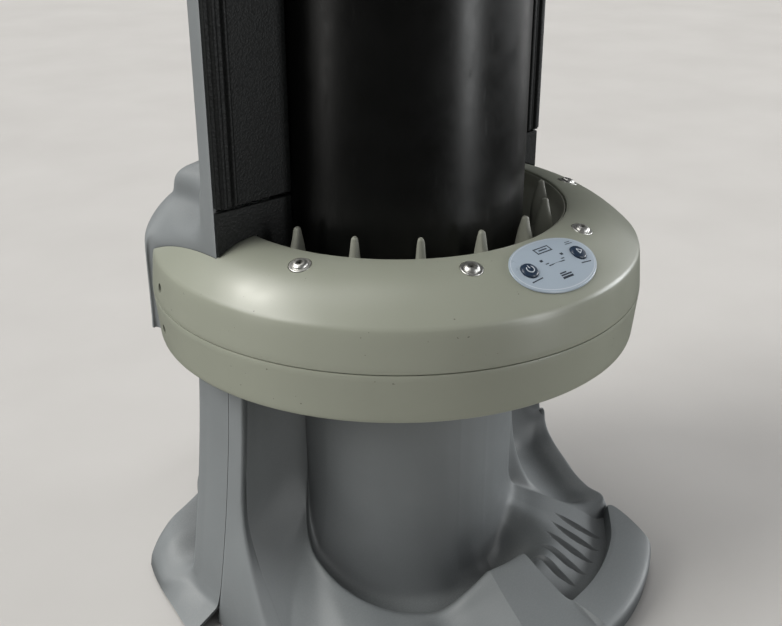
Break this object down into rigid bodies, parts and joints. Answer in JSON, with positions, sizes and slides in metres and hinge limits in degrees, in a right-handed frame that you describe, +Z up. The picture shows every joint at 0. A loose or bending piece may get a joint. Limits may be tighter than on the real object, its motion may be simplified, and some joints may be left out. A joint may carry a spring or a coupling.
{
  "type": "intraoral imaging plate scanner",
  "caption": "Upright dental imaging plate scanner: plates slide down round a black drum into a slotted collar, are read inside and drop into the tray moulded into the grey base.",
  "frame": {"origin": "on the floor plane under the axis of the black drum, which is also the centre of the plan outline", "axes": "+Z up along the drum's axis, -Y towards the user and the exit tray, +X to the right of a person who faces +Y, so the tray lies on the +X side of the nose"},
  "size_m": [0.3748, 0.394, 0.5545],
  "materials": {
    "casing_grey": "blue-grey moulded plastic with a fine satin texture",
    "collar_beige": "warm grey satin paint over a smooth moulded casing",
    "drum_black": "black satin-gloss drum cover with a fine grain",
    "panel_black": "black leather-grain plastic",
    "guide_beige": "warm grey plain moulded plastic",
    "pad_film": "pale blue-grey printed film, glossy",
    "button_navy": "dark blue button caps with a pale symbol",
    "screw_steel": "plated steel screws with a bright washer",
    "plate_steel": "zinc-plated sheet steel",
    "aluminium": "machined aluminium",
    "foot_rubber": "black rubber feet",
    "roller_rubber": "black rubber drive rollers",
    "nylon_white": "natural white nylon",
    "board_green": "green circuit board",
    "black_plastic": "black moulded plastic",
    "optic_mirror": "polished reflector of the light collector"
  },
  "bodies": {
    "chassis": {"base_front_shell": "casing_grey", "base_rear_cover": "casing_grey", "rear_tower_cover": "casing_grey", "tower_top_cap": "casing_grey", "wing_panel_upper_left": "panel_black", "wing_panel_upper_right": "panel_black", "wing_panel_lower_left": "panel_black", "wing_panel_lower_right": "panel_black", "drum_cover": "drum_black", "drum_cap": "drum_black", "collar_upper": "collar_beige", "collar_lower": "collar_beige", "plate_guide_ring": "guide_beige", "control_pad": "pad_film", "collar_screw_1": "screw_steel", "collar_screw_2": "screw_steel", "collar_screw_3": "screw_steel", "collar_screw_4": "screw_steel", "side_screw_left_upper": "screw_steel", "side_screw_left_lower": "screw_steel", "side_screw_right_upper": "screw_steel", "side_screw_right_lower": "screw_steel", "base_plate": "plate_steel", "rubber_foot_1": "foot_rubber", "rubber_foot_2": "foot_rubber", "rubber_foot_3": "foot_rubber", "rubber_foot_4": "foot_rubber", "support_column": "plate_steel", "collar_deck": "aluminium", "scan_cylinder_lower": "black_plastic", "scan_cylinder_upper": "black_plastic", "optics_plate": "aluminium", "scan_motor": "plate_steel", "laser_module": "aluminium", "light_collector": "optic_mirror", "photomultiplier_housing": "plate_steel", "transport_motor": "plate_steel", "erase_lamp_ring": "nylon_white", "main_board": "board_green", "power_supply": "plate_steel", "control_board": "board_green", "connector_panel": "plate_steel", "power_inlet": "black_plastic", "switch_frame": "black_plastic", "data_port": "plate_steel", "fan_shroud": "black_plastic"},
    "power_button_body": {"power_button": "button_navy"},
    "start_button_body": {"start_button": "button_navy"},
    "scan_head_body": {"scan_head": "aluminium"},
    "roller_1": {"feed_roller_1": "roller_rubber"},
    "roller_2": {"feed_roller_2": "roller_rubber"},
    "roller_3": {"feed_roller_3": "roller_rubber"},
    "roller_4": {"feed_roller_4": "roller_rubber"},
    "roller_5": {"feed_roller_5": "roller_rubber"},
    "roller_6": {"feed_roller_6": "roller_rubber"},
    "roller_7": {"feed_roller_7": "roller_rubber", "drive_gear": "nylon_white"},
    "pinion": {"motor_pinion": "nylon_white"},
    "fan": {"cooling_fan": "black_plastic"},
    "switch_rocker": {"power_switch": "black_plastic"}
  },
  "joints": [
    {"name": "power_button_press", "type": "slide", "parent": "chassis", "child": "power_button_body", "axis": [0.0704, 0.4485, -0.891], "range_m": [0, 0.0008]},
    {"name": "start_button_press", "type": "slide", "parent": "chassis", "child": "start_button_body", "axis": [-0.0704, 0.4485, -0.891], "range_m": [0, 0.0008]},
    {"name": "scan_head_spin", "type": "hinge", "parent": "chassis", "child": "scan_head_body", "pos_m": [0, 0, 0.24], "axis": [0, 0, 1], "continuous": true},
    {"name": "roller_1_spin", "type": "hinge", "parent": "chassis", "child": "roller_1", "pos_m": [-0.08841, -0.03662, 0.2225], "axis": [0.3827, -0.9239, 0], "continuous": true},
    {"name": "roller_2_spin", "type": "hinge", "parent": "chassis", "child": "roller_2", "pos_m": [-0.06767, -0.06767, 0.2225], "axis": [0.7071, -0.7071, 0], "continuous": true},
    {"name": "roller_3_spin", "type": "hinge", "parent": "chassis", "child": "roller_3", "pos_m": [-0.03662, -0.08841, 0.2225], "axis": [0.9239, -0.3827, 0], "continuous": true},
    {"name": "roller_4_spin", "type": "hinge", "parent": "chassis", "child": "roller_4", "pos_m": [0, -0.0957, 0.2225], "axis": [1, 0, 0], "continuous": true},
    {"name": "roller_5_spin", "type": "hinge", "parent": "chassis", "child": "roller_5", "pos_m": [0.03662, -0.08841, 0.2225], "axis": [0.9239, 0.3827, 0], "continuous": true},
    {"name": "roller_6_spin", "type": "hinge", "parent": "chassis", "child": "roller_6", "pos_m": [0.06767, -0.06767, 0.2225], "axis": [0.7071, 0.7071, 0], "continuous": true},
    {"name": "roller_7_spin", "type": "hinge", "parent": "chassis", "child": "roller_7", "pos_m": [0.08841, -0.03662, 0.2225], "axis": [0.3827, 0.9239, 0], "continuous": true},
    {"name": "motor_pinion_spin", "type": "hinge", "parent": "chassis", "child": "pinion", "pos_m": [0.10112, -0.04188, 0.2225], "axis": [0.3827, 0.9239, 0], "continuous": true},
    {"name": "fan_spin", "type": "hinge", "parent": "chassis", "child": "fan", "pos_m": [0, 0.1385, 0.158], "axis": [0, 1, 0], "continuous": true},
    {"name": "power_switch_rock", "type": "hinge", "parent": "chassis", "child": "switch_rocker", "pos_m": [0.004, 0.1406, 0.092], "axis": [1, 0, 0], "range_deg": [0, 18]}
  ],
  "couplings": [
    {"joint": "roller_1_spin", "follows": "roller_7_spin", "ratio": 1},
    {"joint": "roller_2_spin", "follows": "roller_7_spin", "ratio": 1},
    {"joint": "roller_3_spin", "follows": "roller_7_spin", "ratio": 1},
    {"joint": "roller_4_spin", "follows": "roller_7_spin", "ratio": 1},
    {"joint": "roller_5_spin", "follows": "roller_7_spin", "ratio": 1},
    {"joint": "roller_6_spin", "follows": "roller_7_spin", "ratio": 1},
    {"joint": "motor_pinion_spin", "follows": "roller_7_spin", "ratio": -2}
  ]
}
